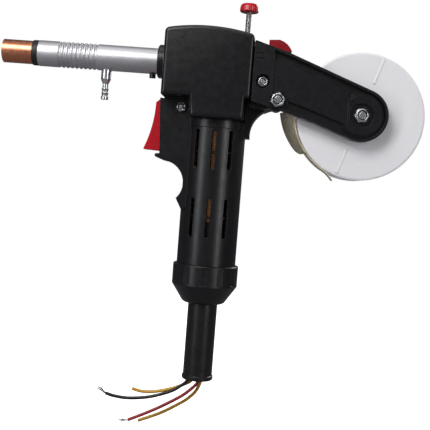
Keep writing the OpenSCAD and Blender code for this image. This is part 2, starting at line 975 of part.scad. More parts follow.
module feed_frame() {
    plate_y0 = -19;
    plate_y1 = -14.2;
    at = [grip_x, drive_z];
    color(alu)
        difference() {
            union() {
                slab(plate_y0, plate_y1)
                    polygon([
                        [143, -16], [143, 14], [160, 18], [190, bridge_z + 3.3],
                        [201.6, bridge_z + 3.3], [202.8, 17], [206, 14], [217, 14],
                        [217, 4], [208.5, -20], [196, -28], [189, -30],
                        [189, frame_z], [169, frame_z], [169, -30], [162, -29.5]
                    ]);
                rod_y(at, -26.2, plate_y1, 8);
                translate([143, plate_y0, -14])
                    cube([9, 13 - plate_y0, 28]);
                translate([151.9, plate_y0, -6])
                    cube([5.1, 6 - plate_y0, 12]);
                translate([202.5, plate_y0, -14])
                    cube([6, 13 - plate_y0, 17.9]);
                slab(9.2, 13)
                    polygon([[203, -14], [203, 4], [206, 14], [216, 14], [216, 6], [208.5, -14]]);
                slab(plate_y1 - eps, -9.2)
                    polygon([[206, 4.8], [206, 14], [216, 14], [216, 4.8]]);
                translate([screw_x - 5, plate_y0, bridge_z])
                    cube([9.4, 6 - plate_y0, 3.3]);
                rod_z([grip_x, 0], frame_z, -43, 19.8);
                rod_z([grip_x, 0], frame_z, -36.6, 8);
            }
            rod_x(142, 152, barrel_r + 0.02);
            rod_x(150, 215, 3.5);
            rod_y(at, -30, -10, 5);
            rod_z([grip_x, 0], frame_z - 1, -30, 5);
            rod_y(arm_pivot, -11.5, 14, 2.02);
            rod_z([screw_x, 0], 10, 25, 2.4 + run_gap);
            for (a = [45 : 90 : 315])
                translate([grip_x + 16.3 * cos(a), 16.3 * sin(a), frame_z - 1])
                    cylinder(h = 20, r = 1.55);
        }
}

module frame_screws() {
    color(steel)
        for (a = [45 : 90 : 315])
            translate([grip_x + 16.3 * cos(a), 16.3 * sin(a), 0])
                difference() {
                    union() {
                        rod_z([0, 0], -53, -42.9, 1.45);
                        rod_z([0, 0], -43, -40.6, 2.8);
                    }
                    translate([0, 0, -42])
                        cylinder(h = 2, r = 1.4, $fn = 6);
                }
}

module wire_guides() {
    bore_r = 1.3;
    nose_gap = 11.5;
    color(brass) {
        turned_x([
            [bore_r, barrel_x1], [3.5, barrel_x1], [3.5, 159], [1.9, grip_x - nose_gap],
            [bore_r, grip_x - nose_gap]
        ]);
        turned_x([
            [bore_r, grip_x + nose_gap], [1.9, grip_x + nose_gap], [3.5, 200], [3.5, 236],
            [2.9, 236], [bore_r, 231]
        ]);
    }
}

// ---- Pressure arm and tension screw ----

module pressure_arm() {
    color(red)
        difference() {
            union() {
                rod_y(arm_pivot, -8.6, 8.6, 4.9);
                slab(4.6, 8.6)
                    polygon([
                        [173.5, 7], [176, 4.8], [182, 4.4], [192, 4.1], [204, 4.1], [211, 4.8],
                        [211, 14.4], [204, 13], [192, 13], [182, 14.4], [176, 14.2], [173.5, 12]
                    ]);
                translate([screw_x - 5, -5, 4])
                    cube([10, 10, seat_z - 4]);
                slab(-6, 6)
                    polygon([
                        [209, 6], [214.5, 6], [218, 13], [229, 14], [235.2, 14.9], [233.6, 17.6],
                        [231.2, 20.2], [228.2, 22.2], [224.8, 23.4], [216.5, 22.8], [216.6, 18.5],
                        [211.5, 14.2], [207.5, 12]
                    ]);
            }
            rod_y(arm_pivot, -10, 10, 2 + run_gap);
            rod_y([grip_x, idler_z], -10, 10, 2.5);
        }
}

module pressure_roller() {
    color(steel)
        translate([grip_x, 0, idler_z])
            rotate([90, 0, 0])
                rotate_extrude()
                    polygon([
                        [2.5 + run_gap, -3.8], [idler_r - 0.4, -3.8], [idler_r, -3.4],
                        [idler_r, 3.4], [idler_r - 0.4, 3.8], [2.5 + run_gap, 3.8]
                    ]);
}

module pressure_roller_axle() {
    at = [grip_x, idler_z];
    color(steel) {
        rod_y(at, -4.2, 9.4, 2.5);
        rod_y(at, -5.2, -4.1, 3.6);
    }
}

module tension_spring() {
    color(steel)
        translate([screw_x, 0, seat_z])
            ring_coil(3.4, 0.45, bridge_z - 1.4 - seat_z, 5);
}

module tension_washer() {
    color(steel)
        difference() {
            rod_z([screw_x, 0], bridge_z - 1.4, bridge_z - 0.1, 4.3);
            rod_z([screw_x, 0], bridge_z - 0.7, bridge_z + 1, 2.4 + run_gap);
        }
}

module tension_screw() {
    color(steel)
        rod_z([screw_x, 0], bridge_z - 0.6, knob_z + 4, 2.4);
}

module tension_knob() {
    lobes = 12;
    color(red)
        difference() {
            translate([screw_x, 0, knob_z])
                rotate_extrude()
                    polygon([[0, 0], [6.9, 0], [7.7, 0.9], [7.5, 4.2], [6.8, 6], [5.6, 6.7], [0, 6.9]]);
            for (i = [0 : lobes - 1])
                rotate_about([screw_x, 0], i * 360 / lobes)
                    rod_z([screw_x + 8.5, 0], knob_z - 1, knob_z + 8, 1.2, $fn = 24);
            rod_z([screw_x, 0], knob_z - 1, knob_z + 4, 2.4);
        }
}

// Turns its children about a vertical axis at [x, y].
module rotate_about(at, angle) {
    translate([at[0], at[1], 0])
        rotate([0, 0, angle])
            translate([-at[0], -at[1], 0])
                children();
}

// ---- Spool arm and spool ----

// Outline of the arm, drawn in by inset: a straight-sided bar with a true round end.
module arm_outline(inset) {
    r = arm_end_r - inset;
    up = 69;
    down = -111;
    union() {
        translate([spool_x, spool_z])
            circle(r = r, $fn = 96);
        polygon([
            [206 + inset, 17.2 - inset], [209, 16.4 - inset], [234, 8.8 - inset],
            [spool_x + r * cos(up), spool_z + r * sin(up)],
            [spool_x + r * cos(down), spool_z + r * sin(down)],
            [256.3, -43.6 + inset], [235.2, -37 + inset], [222, -33.4 + inset], [206 + inset, -30 + inset]
        ]);
    }
}

module spool_arm() {
    rim_face = arm_y;
    hub = [spool_x, spool_z];
    color(black)
        difference() {
            union() {
                difference() {
                    slab(rim_face, tail_y0)
                        arm_outline(0);
                    slab(rim_face - 1, rim_face + 4.4)
                        difference() {
                            arm_outline(2.2);
                            translate([200, -60])
                                square([21.4, 90]);
                        }
                }
                slab(rim_face + 1.6, tail_y0 - 4)
                    intersection() {
                        arm_outline(9);
                        translate([221, -60])
                            square([60, 90]);
                    }
                rod_y(hub, rim_face + 3, tail_y0 - 3, 17.4);
                rod_y(hub, rim_face + 1.8, tail_y0 - 3, 15.6);
                rod_y(arm_screw, rim_face + 2.6, tail_y0 - 3, 8.4);
            }
            rod_y(hub, rim_face, rim_face + 4, 9.4);
            rod_y(hub, -60, 0, 3);
            rod_y(arm_nut, rim_face - 1, rim_face + 4.6, 5.6);
            rod_y(arm_nut, -60, 0, 2.15);
            rod_y(arm_screw, rim_face - 1, rim_face + 2.6, 6.6);
            rod_y(arm_screw, -60, 0, 3.1);
            translate([208, rim_face - 1, 2.5])
                cube([5.5, 1.8, 1.2]);
            translate([208, rim_face - 1, 6.5])
                cube([5.5, 1.8, 1.2]);
        }
}

module spool_axle() {
    color(steel)
        bolt_y([spool_x, spool_z], 33, arm_y - 2.4, 3, 5, 5.6);
}

module spool_hub() {
    at = [spool_x, spool_z];
    color(black)
        difference() {
            union() {
                rod_y(at, tail_y0, -23, 12);
                rod_y(at, -23 - eps, 22.2, spool_bore / 2 - 0.05);
            }
            rod_y(at, -30, 30, 3);
        }
}

module wire_spool() {
    r = spool_d / 2;
    half = spool_w / 2;
    bore_r = spool_bore / 2;
    core_r = 25;
    color([0.9, 0.9, 0.92])
        translate([spool_x, 0, spool_z])
            rotate([90, 0, 0]) {
                rotate_extrude($fn = 128)
                    polygon([
                        [bore_r, -half], [r - 1.4, -half], [r, -half + 0.6], [r, -half + 2.6],
                        [r - 2, -half + 2.2], [core_r, -half + 2.2], [core_r, half - 2.2],
                        [r - 2, half - 2.2], [r, half - 2.6], [r, half - 0.6], [r - 1.4, half],
                        [bore_r, half], [bore_r, half - 2.2], [core_r - 2, half - 2.2],
                        [core_r - 2, -half + 2.2], [bore_r, -half + 2.2]
                    ]);
                difference() {
                    translate([0, 0, -half])
                        cylinder(h = spool_w, r = bore_r + 2);
                    translate([0, 0, -half - 1])
                        cylinder(h = spool_w + 2, r = bore_r);
                }
                for (a = [0 : 60 : 300])
                    rotate([0, 0, a])
                        translate([bore_r + 1, -0.8, -half + 1])
                            cube([core_r - bore_r - 2, 1.6, spool_w - 2]);
            }
}

module spool_brake_spring() {
    color(steel)
        translate([spool_x, 31.2, spool_z])
            rotate([90, 0, 0])
                ring_coil(6.4, 0.6, 7.2, 5);
}

module brake_washers() {
    color(steel)
        for (y = [22.7, 31.3])
            difference() {
                rod_y([spool_x, spool_z], y, y + 1.2, 11);
                rod_y([spool_x, spool_z], y - 1, y + 3, 3.1);
            }
}

// A flexible strip bent around the spool: [angle, inner radius] pairs set its path.
module strip(path, thick, y0, y1) {
    slab(y0, y1)
        translate([spool_x, spool_z])
            polygon(concat(
                [for (p = path) [p[1] * cos(p[0]), p[1] * sin(p[0])]],
                [for (i = [len(path) - 1 : -1 : 0])
                    let (p = path[i])
                    [(p[1] + thick) * cos(p[0]), (p[1] + thick) * sin(p[0])]]));
}

// Distance of the guard from the spool's axis: it follows the flanges and springs clear at its free end.
function guard_r(i) = spool_d / 2 + 0.7 + (i > 16 ? 0.22 * pow(i - 16, 2) : 0);

module wire_guard() {
    step = 3.35;
    sheet = 0.9;
    lean = 12;
    near_y = -24;
    hug_x = 241;
    foot_x = 234.1;
    foot_z = -39.6;
    color([0.62, 0.55, 0.33]) {
        translate([hug_x, near_y, 0])
            rotate([0, 0, lean])
                translate([-hug_x, -near_y, 0])
                    strip([for (i = [0 : 10]) [184 + step * i, guard_r(i) + 0.2]], sheet, near_y, 24);
        strip([for (i = [8 : 20]) [184 + step * i, guard_r(i)]], sheet, -23.5, 14);
        translate([foot_x, -17, foot_z])
            cube([sheet, 34, 20]);
        translate([0, 0, foot_z])
            linear_extrude(sheet)
                polygon([[foot_x, -17], [239.3, -17], [234.9, 4], [foot_x, 4]]);
    }
}

// ---- Fasteners ----

module shell_bolts() {
    color(steel) {
        bolt_y(low_bolt, front_half, -front_half - 5, 2, 3.6, 3.6);
        bolt_y(arm_nut, box_y, arm_y - 0.4, 2, 3.6, 3.6);
    }
}

module arm_bolt() {
    color(steel)
        bolt_y(arm_screw, box_y, arm_y - 4.4, 3, 5, 5.6);
}

module nut_y(at, y_seat, across, height, bore_r, turn) {
    color(steel)
        translate([at[0], y_seat, at[1]])
            rotate([90, 0, 0])
                rotate([0, 0, turn])
                    lock_nut(across, height, bore_r);
}

module m4_lock_nuts() {
    nut_y(low_bolt, -front_half, 7, 4.4, 2, 10);
    nut_y(arm_nut, arm_y + 4.6, 7, 4.6, 2, 20);
}

module m6_lock_nuts() {
    nut_y(arm_screw, arm_y + 2.6, 10, 6.4, 3, 14);
    nut_y([spool_x, spool_z], arm_y + 4, 10, 6, 3, 5);
}

// ---- Cable end ----

module collar_nut() {
    top = grip_z - 0.05;
    outer_r = 26.7;
    waist_r = 16.3;
    grips = 12;
    color(black)
        difference() {
            turned_grip([
                [grip_r - 1.55, top], [outer_r - 0.4, top], [outer_r, top - 0.6], [outer_r, top - 16.6],
                [outer_r - 0.6, top - 17.6], [waist_r + 1.2, top - 30.4], [waist_r - 0.6, top - 31.5],
                [tube_d / 2 + 0.05, top - 31.5], [tube_d / 2 + 0.05, top - 26], [20.4, top - 18],
                [grip_r - 1.55, top - 18]
            ]);
            for (i = [0 : grips - 1])
                rotate_about([grip_x, 0], i * 360 / grips)
                    translate([grip_x + outer_r - 0.5, -2.4, top - 15.4])
                        cube([2, 4.8, 13.8]);
        }
}

module cable_tube() {
    r = tube_d / 2;
    color(black)
        turned_grip([
            [r - 3.5, tube_z], [r, tube_z], [r + 0.8, tube_z + 0.8], [r + 0.8, tube_z + 3.2],
            [r, tube_z + 4], [r, -180 - 6], [19.6, -180 + 0.4], [19.6, -177.4], [r - 3.5, -177.4]
        ]);
}

// One lead hanging from the cable tube and bending forward, with its bare end.
module lead(start, steps) {
    translate([start[0], start[1], -236])
        rotate([0, 180, 0])
            bent_wire(steps);
}

module black_wire() {
    r = lead_d / 2;
    color(black)
        lead([173.2, -1.8], [[16, 22, 72, r], [2, 90, 28, r], [8, 1, 0, r], [5, 1, 0, 0.3 * lead_d]]);
}

module red_wire() {
    r = lead_d / 2;
    color(red)
        lead([180, -2], [[14, 24, 48, r], [2, 120, 18, r], [17, 1, 0, r], [4, 1, 0, 0.3 * lead_d]]);
}

module yellow_wires() {
    r = lead_d / 2;
    color([0.85, 0.68, 0.2]) {
        lead([175, 2], [[14, 20, 75, r], [2, 60, 25, r], [9, 1, 0, r]]);
        lead([183, 2.4], [[19, 16, 45, r], [2, 150, 17, r], [11, 1, 0, r]]);
    }
}

nozzle();
nozzle_insulator();
contact_tip();
gas_diffuser();
conductor_tube();
wire_liner();
barrel_tube();
gas_barb();
barrel_clamp_screw();
barrel_collar();
left_shell();
right_shell();
head_cover();
feeder_door();
door_hinge_pin();
trigger();
trigger_spring();
trigger_switch();
switch_plunger();
dowel_pins();
motor_can();
motor_end_cap();
armature();
shaft_bushes();
gearbox_housing();
planet_gear_1();
planet_gear_2();
planet_gear_3();
planet_carrier();
bevel_pinion();
bevel_gear();
roller_shaft();
drive_roller();
roller_screw();
feed_frame();
frame_screws();
wire_guides();
pressure_arm();
pressure_roller();
pressure_roller_axle();
tension_spring();
tension_washer();
tension_screw();
tension_knob();
spool_arm();
spool_axle();
spool_hub();
wire_spool();
spool_brake_spring();
brake_washers();
wire_guard();
shell_bolts();
arm_bolt();
m4_lock_nuts();
m6_lock_nuts();
collar_nut();
cable_tube();
black_wire();
red_wire();
yellow_wires();
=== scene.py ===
"""Looks for the spool gun: finishes for the CAD parts, finer versions of a few of them, lights and a camera.

Lengths are in millimetres until they become mesh vertices, in the CAD part's own frame.
"""

import json
import math

import bmesh
import bpy
from mathutils import Matrix, Vector


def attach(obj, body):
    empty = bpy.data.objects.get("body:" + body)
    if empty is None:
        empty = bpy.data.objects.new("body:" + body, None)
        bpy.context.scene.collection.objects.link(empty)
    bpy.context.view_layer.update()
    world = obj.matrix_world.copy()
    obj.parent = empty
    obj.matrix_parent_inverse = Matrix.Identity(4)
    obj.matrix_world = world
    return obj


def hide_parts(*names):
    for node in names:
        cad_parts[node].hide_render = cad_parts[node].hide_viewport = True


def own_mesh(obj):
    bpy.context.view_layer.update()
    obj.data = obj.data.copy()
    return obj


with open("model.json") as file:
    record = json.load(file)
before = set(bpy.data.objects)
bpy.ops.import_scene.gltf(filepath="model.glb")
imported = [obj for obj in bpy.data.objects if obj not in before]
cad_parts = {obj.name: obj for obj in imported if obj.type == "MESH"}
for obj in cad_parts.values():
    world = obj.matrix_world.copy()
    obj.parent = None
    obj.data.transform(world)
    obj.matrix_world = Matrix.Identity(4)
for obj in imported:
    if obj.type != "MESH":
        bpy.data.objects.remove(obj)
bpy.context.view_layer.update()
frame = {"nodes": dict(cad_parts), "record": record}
nodes = frame["nodes"]
MM = 0.001

# Places on the gun that several pieces share.
SCREW_X = 198.4
GRIP_X = 179
SPOOL_X, SPOOL_Z = 292, -34.8


# ---------------------------------------------------------------- materials


class Graph:
    """A small helper for wiring shader nodes."""

    def __init__(self, name):
        self.material = bpy.data.materials.new(name)
        self.material.use_nodes = True
        self.tree = self.material.node_tree
        self.tree.nodes.clear()
        self.out = self.add("ShaderNodeOutputMaterial")

    def add(self, kind, **settings):
        node = self.tree.nodes.new(kind)
        for key, value in settings.items():
            setattr(node, key, value)
        return node

    def link(self, source, node, socket):
        self.tree.links.new(source, node.inputs[socket])

    def noise(self, scale, detail=3.0, stretch=None, rough=0.55):
        """A noise value from the part's own coordinates, optionally stretched along its axes."""
        place = self.add("ShaderNodeTexCoord").outputs["Object"]
        if stretch:
            mapping = self.add("ShaderNodeMapping")
            mapping.inputs["Scale"].default_value = stretch
            self.link(place, mapping, "Vector")
            place = mapping.outputs[0]
        node = self.add("ShaderNodeTexNoise")
        node.inputs["Scale"].default_value = scale
        node.inputs["Detail"].default_value = detail
        node.inputs["Roughness"].default_value = rough
        self.link(place, node, "Vector")
        return node.outputs["Fac"]

    def ranged(self, value, low, high, to_low, to_high):
        node = self.add("ShaderNodeMapRange")
        self.link(value, node, "Value")
        for key, number in zip(
            ("From Min", "From Max", "To Min", "To Max"), (low, high, to_low, to_high)
        ):
            node.inputs[key].default_value = number
        return node.outputs[0]

    def math(self, operation, a, b):
        node = self.add("ShaderNodeMath", operation=operation)
        for i, value in enumerate((a, b)):
            if isinstance(value, (int, float)):
                node.inputs[i].default_value = value
            else:
                self.link(value, node, i)
        return node.outputs[0]

    def mix(self, factor, a, b):
        node = self.add("ShaderNodeMix", data_type="RGBA")
        if isinstance(factor, (int, float)):
            node.inputs[0].default_value = factor
        else:
            self.link(factor, node, 0)
        for i, value in ((6, a), (7, b)):
            if isinstance(value, tuple):
                node.inputs[i].default_value = (*value, 1)
            else:
                self.link(value, node, i)
        return node.outputs[2]

    def bump(self, height, strength, distance, normal=None):
        node = self.add("ShaderNodeBump")
        node.inputs["Strength"].default_value = strength
        node.inputs["Distance"].default_value = distance
        self.link(height, node, "Height")
        if normal:
            self.link(normal, node, "Normal")
        return node.outputs[0]


def edge_mask(g, radius_mm, low=0.01, high=0.12):
    """Rounded normals at sharp edges, and a mask that is 1 along them."""
    soft = g.add("ShaderNodeBevel", samples=6)
    soft.inputs["Radius"].default_value = radius_mm * MM
    flat = g.add("ShaderNodeNewGeometry").outputs["Normal"]
    dot = g.add("ShaderNodeVectorMath", operation="DOT_PRODUCT")
    g.link(soft.outputs[0], dot, 0)
    g.link(flat, dot, 1)
    mask = g.ranged(dot.outputs["Value"], 1 - low, 1 - high, 0, 1)
    return soft.outputs[0], mask


def tinted(color, factor):
    return tuple(min(1.0, c * factor) for c in color)


def finish(
    name,
    color,
    metallic=0.0,
    rough=0.4,
    spread=0.1,
    tone=0.15,
    grain=(2600, 0.12),
    streak=None,
    edge=0.25,
    wear=0.0,
    wear_color=None,
    dust=0.0,
    coat=0.0,
    transmission=0.0,
    subsurface=0.0,
    ior=1.5,
):
    """A layered finish: uneven tone and gloss, fine grain, directional marks, worn edges and settled dust."""
    g = Graph(name)
    shader = g.add("ShaderNodeBsdfPrincipled")
    normal, edges = edge_mask(g, edge)
    broad = g.noise(38, 5)
    patchy = g.noise(210, 4)
    base = g.mix(g.ranged(broad, 0.3, 0.7, 0, 1), tinted(color, 1 - tone), tinted(color, 1 + tone))
    gloss = g.ranged(patchy, 0.25, 0.75, rough - spread, rough + spread)
    height = g.noise(grain[0], 2)
    if streak:
        marks = g.noise(streak[0], 3, streak[1])
        gloss = g.math("ADD", gloss, g.ranged(marks, 0.3, 0.7, -spread, spread))
        normal = g.bump(marks, streak[2], 0.0002, normal)
    if dust:
        upward = g.add("ShaderNodeSeparateXYZ")
        g.link(g.add("ShaderNodeNewGeometry").outputs["Normal"], upward, 0)
        settled = g.math("MULTIPLY", g.ranged(upward.outputs["Z"], 0.1, 1, 0, dust), g.noise(700, 5))
        base = g.mix(settled, base, (0.35, 0.33, 0.3))
    if wear:
        rubbed = g.math("MULTIPLY", edges, g.ranged(g.noise(320, 6), 0.42, 0.62, 0, wear))
        base = g.mix(rubbed, base, wear_color or tinted(color, 2.5))
        gloss = g.math("SUBTRACT", gloss, g.math("MULTIPLY", rubbed, 0.12))
    g.link(base, shader, "Base Color")
    g.link(gloss, shader, "Roughness")
    g.link(g.bump(height, grain[1], 0.0001, normal), shader, "Normal")
    shader.inputs["Metallic"].default_value = metallic
    shader.inputs["IOR"].default_value = ior
    shader.inputs["Coat Weight"].default_value = coat
    shader.inputs["Coat Roughness"].default_value = 0.08
    shader.inputs["Transmission Weight"].default_value = transmission
    shader.inputs["Subsurface Weight"].default_value = subsurface
    shader.inputs["Subsurface Radius"].default_value = (0.004, 0.004, 0.004)
    g.link(shader.outputs[0], g.out, "Surface")
    return g.material


LOOKS = {
    "black_nylon": finish(
        "black_nylon", (0.0048, 0.0048, 0.0064), rough=0.32, spread=0.05, tone=0.25,
        grain=(3600, 0.2), edge=0.45, wear=0.4,
        wear_color=(0.03, 0.03, 0.034), dust=0.018,
    ),
    "black_phenolic": finish(
        "black_phenolic", (0.009, 0.008, 0.008), rough=0.5, tone=0.3, grain=(2400, 0.3), wear=0.3,
    ),
    "black_rubber": finish(
        "black_rubber", (0.0034, 0.0034, 0.004), rough=0.36, spread=0.07, tone=0.3,
        grain=(2200, 0.25), streak=(50, (1, 1, 9), 0.05), edge=0.35, dust=0.02,
    ),
    "black_insert": finish(
        "black_insert", (0.002, 0.002, 0.002), rough=0.6, spread=0.05, tone=0.2, grain=(3000, 0.2), edge=0.1,
    ),
    "red_plastic": finish(
        "red_plastic", (0.56, 0.006, 0.017), rough=0.24, spread=0.05, tone=0.08,
        grain=(900, 0.04), streak=(30, (1, 1, 5), 0.02), edge=0.5, wear=0.2,
        wear_color=(0.7, 0.05, 0.07), coat=0.3,
    ),
    # A darker copy of the red plastic: painted shade for the pressure arm, whose face is turned away from the
    # light.
    "shaded_red_plastic": finish(
        "shaded_red_plastic", (0.27, 0.005, 0.01), rough=0.3, spread=0.05, tone=0.08,
        grain=(900, 0.04), streak=(30, (1, 1, 5), 0.02), edge=0.5, wear=0.2,
        wear_color=(0.5, 0.04, 0.05),
    ),
    "red_pvc": finish(
        "red_pvc", (0.30, 0.008, 0.014), rough=0.32, tone=0.15, grain=(1500, 0.1), edge=0.1,
    ),
    "yellow_pvc": finish(
        "yellow_pvc", (0.62, 0.34, 0.03), rough=0.32, tone=0.12, grain=(1500, 0.1), edge=0.1,
    ),
    "clear_plastic": finish(
        "clear_plastic", (0.86, 0.85, 0.885), rough=0.34, spread=0.05, tone=0.015,
        grain=(700, 0.03), streak=(24, (1, 1, 1), 0.02), edge=0.4, subsurface=0.25,
    ),
    "amber_film": finish(
        "amber_film", (0.80, 0.70, 0.48), rough=0.24, spread=0.06, tone=0.2,
        grain=(600, 0.15), streak=(26, (3, 1, 3), 0.05), edge=0.1, transmission=0.12,
    ),
    "copper": finish(
        "copper", (0.66, 0.26, 0.15), metallic=1, rough=0.32, spread=0.07, tone=0.15,
        grain=(3000, 0.1), streak=(40, (60, 4, 4), 0.05), edge=0.2, wear=0.4,
        wear_color=(0.95, 0.62, 0.48),
    ),
    "brass": finish(
        "brass", (0.72, 0.50, 0.22), metallic=1, rough=0.28, tone=0.12,
        grain=(2600, 0.1), streak=(40, (50, 4, 4), 0.08), edge=0.15, wear=0.4,
    ),
    "aluminium": finish(
        "aluminium", (0.62, 0.62, 0.65), metallic=1, rough=0.46, spread=0.04, tone=0.05,
        grain=(3000, 0.06), streak=(30, (60, 3, 3), 0.03), edge=0.2, wear=0.3,
        wear_color=(0.8, 0.81, 0.83),
    ),
    "cast_aluminium": finish(
        "cast_aluminium", (0.55, 0.56, 0.57), metallic=1, rough=0.48, spread=0.1, tone=0.15,
        grain=(1300, 0.6), edge=0.4, wear=0.6, wear_color=(0.8, 0.8, 0.8),
    ),
    "steel": finish(
        "steel", (0.52, 0.53, 0.55), metallic=1, rough=0.27, tone=0.12,
        grain=(2800, 0.12), streak=(50, (5, 40, 5), 0.06), edge=0.12, wear=0.4,
    ),
    "dark_steel": finish(
        "dark_steel", (0.05, 0.05, 0.055), metallic=1, rough=0.4, tone=0.3,
        grain=(2400, 0.2), edge=0.15, wear=0.8, wear_color=(0.4, 0.4, 0.4),
    ),
    "plated_steel": finish(
        "plated_steel", (0.74, 0.75, 0.78), metallic=1, rough=0.26, spread=0.06, tone=0.08,
        grain=(2200, 0.12), edge=0.15, wear=0.3, wear_color=(0.9, 0.9, 0.88),
    ),
    "passivated_steel": finish(
        "passivated_steel", (0.50, 0.24, 0.11), metallic=1, rough=0.26, spread=0.08, tone=0.35,
        grain=(1800, 0.15), streak=(30, (2, 2, 30), 0.04), edge=0.15, wear=0.4,
    ),
}

for entry in frame["record"]["subparts"]:
    data = nodes[entry["node"]].data
    data.materials.clear()
    data.materials.append(LOOKS[entry["material_slot"]])
# The pressure arm gets the darker copy of the red plastic: painted shade on its face.
nodes["pressure_arm"].data.materials[0] = LOOKS["shaded_red_plastic"]


# ---------------------------------------------------------------- mesh helpers


def face_outward(mesh):
    shape = bmesh.new()
    shape.from_mesh(mesh)
    bmesh.ops.recalc_face_normals(shape, faces=shape.faces)
    shape.to_mesh(mesh)
    shape.free()


def piece(name, points, faces, slot, body):
    """A mesh piece from points in millimetres, with its finish, riding on a CAD body."""
    mesh = bpy.data.meshes.new(name)
    mesh.from_pydata([Vector(p) * MM for p in points], [], faces)
    mesh.validate()
    face_outward(mesh)
    mesh.materials.append(LOOKS[slot])
    obj = bpy.data.objects.new(name, mesh)
    bpy.context.scene.collection.objects.link(obj)
    mesh.shade_smooth()
    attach(obj, body)
    return obj


def spline(points, steps=10):
    """A smooth path through the given points."""
    p = [Vector(q) for q in points]
    p = [p[0] * 2 - p[1]] + p + [p[-1] * 2 - p[-2]]
    path = []
    for i in range(1, len(p) - 2):
        for k in range(steps):
            t = k / steps
            a, b, c, d = p[i - 1 : i + 3]
            path.append(
                0.5 * ((2 * b) + (c - a) * t + (2 * a - 5 * b + 4 * c - d) * t * t
                + (3 * b - a - 3 * c + d) * t * t * t)
            )
    path.append(p[-2])
    return path


def tube(path, radius, sides=14):
    """Points and faces of a round tube along a path, with domed ends. radius may be a function of 0 to 1."""
    size = radius if callable(radius) else (lambda t: radius)
    points, faces = [], []
    side = (path[1] - path[0]).orthogonal().normalized()
    last = len(path) - 1
    for i, p in enumerate(path):
        along = (path[min(i + 1, last)] - path[max(i - 1, 0)]).normalized()
        side = (side - along * side.dot(along)).normalized()
        other = along.cross(side)
        r = size(i / last)
        for k in range(sides):
            a = 2 * math.pi * k / sides
            points.append(p + (side * math.cos(a) + other * math.sin(a)) * r)
    for i in range(last):
        for k in range(sides):
            n = (k + 1) % sides
            faces.append((i * sides + k, i * sides + n, (i + 1) * sides + n, (i + 1) * sides + k))
    for end, direction in ((0, -1), (last, 1)):
        along = (path[end] - path[end - direction]).normalized()
        points.append(path[end] + along * size(end / last) * 0.35)
        for k in range(sides):
            faces.append((end * sides + k, end * sides + (k + 1) % sides, len(points) - 1))
    return points, faces


def joined(parts):
    """Several (points, faces) lists as one."""
    points, faces = [], []
    for more_points, more_faces in parts:
        start = len(points)
        points += more_points
        faces += [tuple(start + i for i in f) for f in more_faces]
    return points, faces


def helix(centre, axis, start, end, radius, turns, ground=0.75, steps=28):
    """A coil spring's wire along an axis, with its end turns closed up flat."""
    centre, axis = Vector(centre), Vector(axis)
    side = axis.orthogonal().normalized()
    other = axis.cross(side)
    count = int(turns * steps)
    path = []
    for i in range(count + 1):
        turn = i / steps
        inner = min(max(turn - ground, 0), turns - 2 * ground) / (turns - 2 * ground)
        a = 2 * math.pi * turn
        path.append(
            centre + axis * (start + (end - start) * inner)
            + (side * math.cos(a) + other * math.sin(a)) * radius
        )
    return path


# ---------------------------------------------------------------- head cover

HEAD_X0, HEAD_X1, COVER_Y, COVER_WALL = 135.0, 205.4, -34.0, 2.4


def crown(x, lower=0.0):
    """Height of the head's crowned top at distance x, drawn in by lower."""
    return 26.3 - 152 + math.sqrt((152 - lower) ** 2 - (x - 168) ** 2)


def filleted(corners, n=8):
    """A closed outline with each corner (x, z, radius) rounded by an arc of n steps."""
    outline = []
    count = len(corners)
    for i, (x, z, radius) in enumerate(corners):
        here = Vector((x, z))
        before = (Vector(corners[i - 1][:2]) - here).normalized()
        after = (Vector(corners[(i + 1) % count][:2]) - here).normalized()
        half = math.acos(max(-1, min(1, before.dot(after)))) / 2
        if radius == 0:
            outline.append(here)
            continue
        reach = radius / math.tan(half)
        centre = here + (before + after).normalized() * radius / math.sin(half)
        a, b = here + before * reach - centre, here + after * reach - centre
        sweep = a.angle_signed(b)
        for k in range(n + 1):
            turn = -sweep * k / n
            c, s = math.cos(turn), math.sin(turn)
            outline.append(centre + Vector((a.x * c - a.y * s, a.x * s + a.y * c)))
    return outline


def shrunk(radius, lower):
    """A corner's radius once its outline is drawn in by lower."""
    return max(radius - lower, 0.3)


def upper_outline(lower):
    """The head's upper block in X and Z, drawn in by lower."""
    x0, x1 = HEAD_X0 + lower, HEAD_X1 - lower
    xs = [x1 - 4.5 - (x1 - x0 - 9) * i / 30 for i in range(31)]
    return filleted(
        [(x0, -29.7 + lower, shrunk(1.3, lower)), (x1, -28 + lower, shrunk(1.8, lower))]
        + [(x1, crown(x1, lower), shrunk(4.2, lower))]
        + [(x, crown(x, lower), 0) for x in xs]
        + [(x0, crown(x0, lower), shrunk(4, lower))]
    )


def skirt_outline(lower):
    """The skirt below the head that hides the top of the grip, drawn in by lower."""
    return filleted([
        (158.7 + lower, -45 + lower, shrunk(1.4, lower)), (201.2 - lower, -45 + lower, shrunk(1.6, lower)),
        (201.2 - lower, -15, 0), (156.2 + lower, -15, 0),
    ])


def plate(shape, lower, y_face, y_back, round_r):
    """Points and faces of a plate along Y whose edge at y_face is rounded. shape(lower) gives its outline."""
    rings = []
    for k in range(9):
        a = math.pi / 2 * k / 8
        rings.append((y_face + round_r * (1 - math.cos(a)), round_r * (1 - math.sin(a))))
    rings.append((y_back, 0.0))
    points, faces = [], []
    count = len(shape(lower))
    for y, amount in rings:
        points += [(p.x, y, p.y) for p in shape(lower + amount)]
    for r in range(len(rings) - 1):
        for i in range(count):
            j = (i + 1) % count
            faces.append((r * count + i, r * count + j, (r + 1) * count + j, (r + 1) * count + i))
    faces.append(tuple(range(count)))
    faces.append(tuple((len(rings) - 1) * count + i for i in reversed(range(count))))
    return points, faces


def cut(obj, tools, operation="DIFFERENCE"):
    """Cuts tool solids out of obj, or joins them to it, for good."""
    for tool in tools:
        step = obj.modifiers.new("cut", "BOOLEAN")
        step.operation = operation
        step.solver = "EXACT"
        step.object = tool
        with bpy.context.temp_override(object=obj, active_object=obj):
            bpy.ops.object.modifier_apply(modifier=step.name)
        bpy.data.objects.remove(tool)


